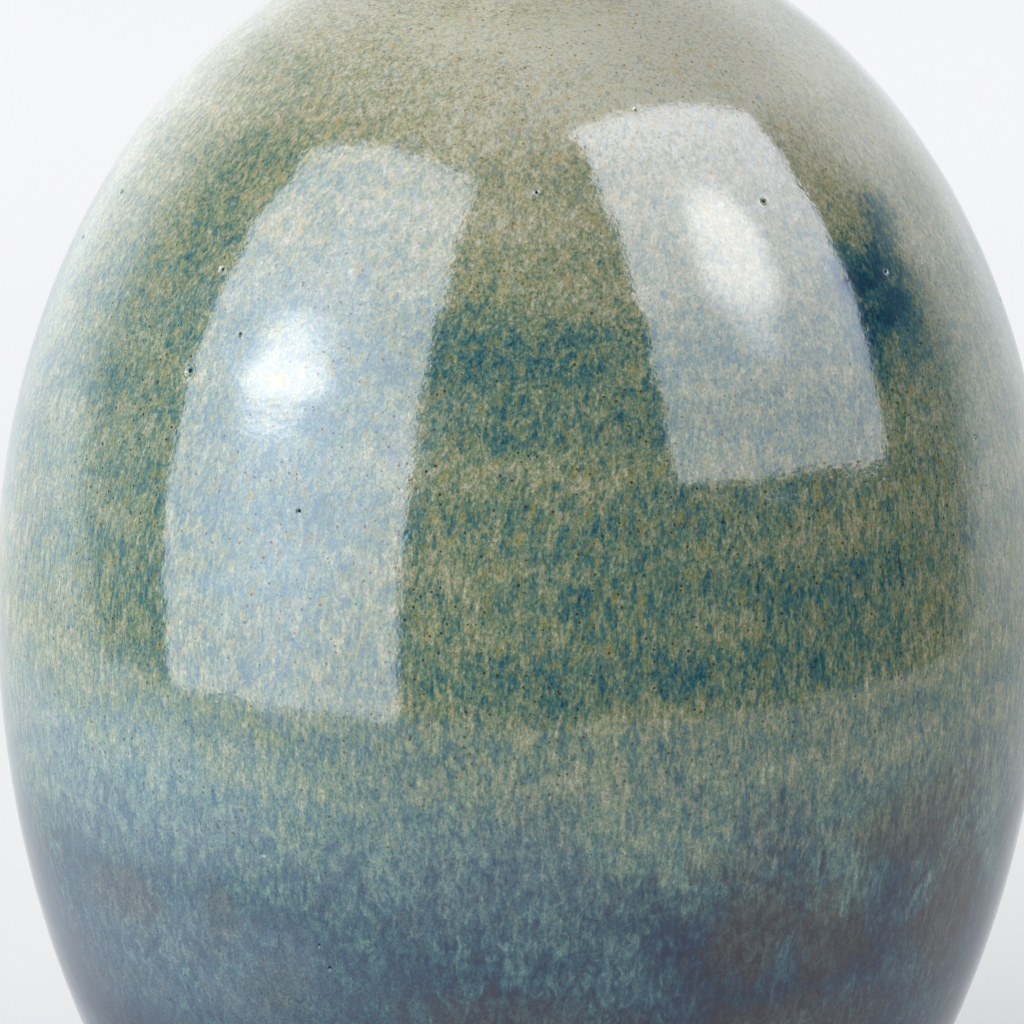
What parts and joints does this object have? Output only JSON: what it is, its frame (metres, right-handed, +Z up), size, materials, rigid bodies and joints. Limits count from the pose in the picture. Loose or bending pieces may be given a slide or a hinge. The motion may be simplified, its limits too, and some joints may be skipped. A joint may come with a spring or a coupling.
{
  "type": "bud vase",
  "caption": "Round-bellied ceramic bud vase with a short flared neck and turned foot ring, glazed inside and out; holds a stem or a small bunch of flowers in water.",
  "frame": {"origin": "centre of the foot ring's sole, on the surface the vase stands on", "axes": "+Z up along the axis of the vase, from foot to lip; X and Y are equal on a body of revolution, and -Y faces the viewer"},
  "size_m": [0.114, 0.114, 0.1736],
  "materials": {
    "bare_clay": "fired stoneware body, unglazed, speckled with iron",
    "slip": "fired luting slip, unglazed",
    "liner_glaze": "glossy plain liner glaze",
    "base_glaze": "glossy blue-violet base glaze breaking to brown",
    "over_glaze": "glossy streaked olive and teal glaze with pinholes"
  },
  "bodies": {
    "root": {"foot_ring": "bare_clay", "foot_slip_seam": "slip", "lower_body_section": "bare_clay", "belly_slip_seam": "slip", "upper_body_section": "bare_clay", "neck_slip_seam": "slip", "neck_section": "bare_clay", "liner_glaze": "liner_glaze", "base_glaze": "base_glaze", "over_glaze": "over_glaze"}
  },
  "joints": []
}
